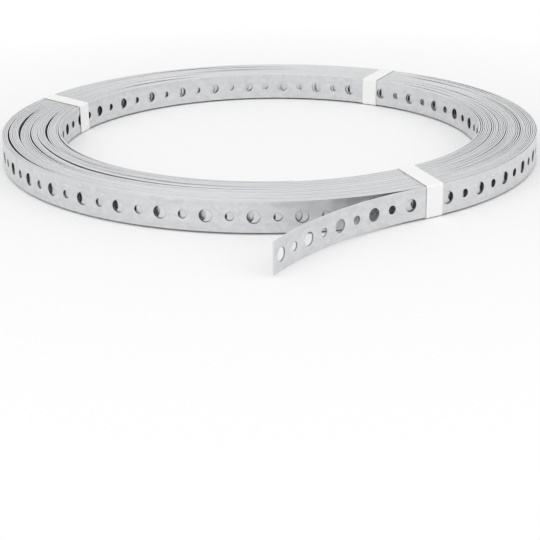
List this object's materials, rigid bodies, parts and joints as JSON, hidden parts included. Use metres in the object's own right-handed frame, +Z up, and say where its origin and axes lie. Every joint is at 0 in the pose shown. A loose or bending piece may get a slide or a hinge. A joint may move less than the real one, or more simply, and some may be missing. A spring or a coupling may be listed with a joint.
{
  "type": "roll of perforated metal strap",
  "caption": "Flat roll of galvanised steel hanging strap with a row of alternating large and small holes, bound by three white plastic ties, its outer end bent out free.",
  "frame": {"origin": "on the roll's axis, in the plane of the strap's lower edges, which is the lower end of the bore", "axes": "+Z up along the roll's axis, -Y towards the cut end of the free strap, +X to the right of someone who looks along +Y"},
  "size_m": [0.33, 0.3904, 0.0187],
  "materials": {
    "galvanised_steel": "galvanised, satin, with a faint spangle",
    "white_plastic": "smooth, slightly glossy"
  },
  "bodies": {
    "root": {"strap_roll": "galvanised_steel", "front_tie": "white_plastic", "right_tie": "white_plastic", "left_tie": "white_plastic"}
  },
  "joints": []
}
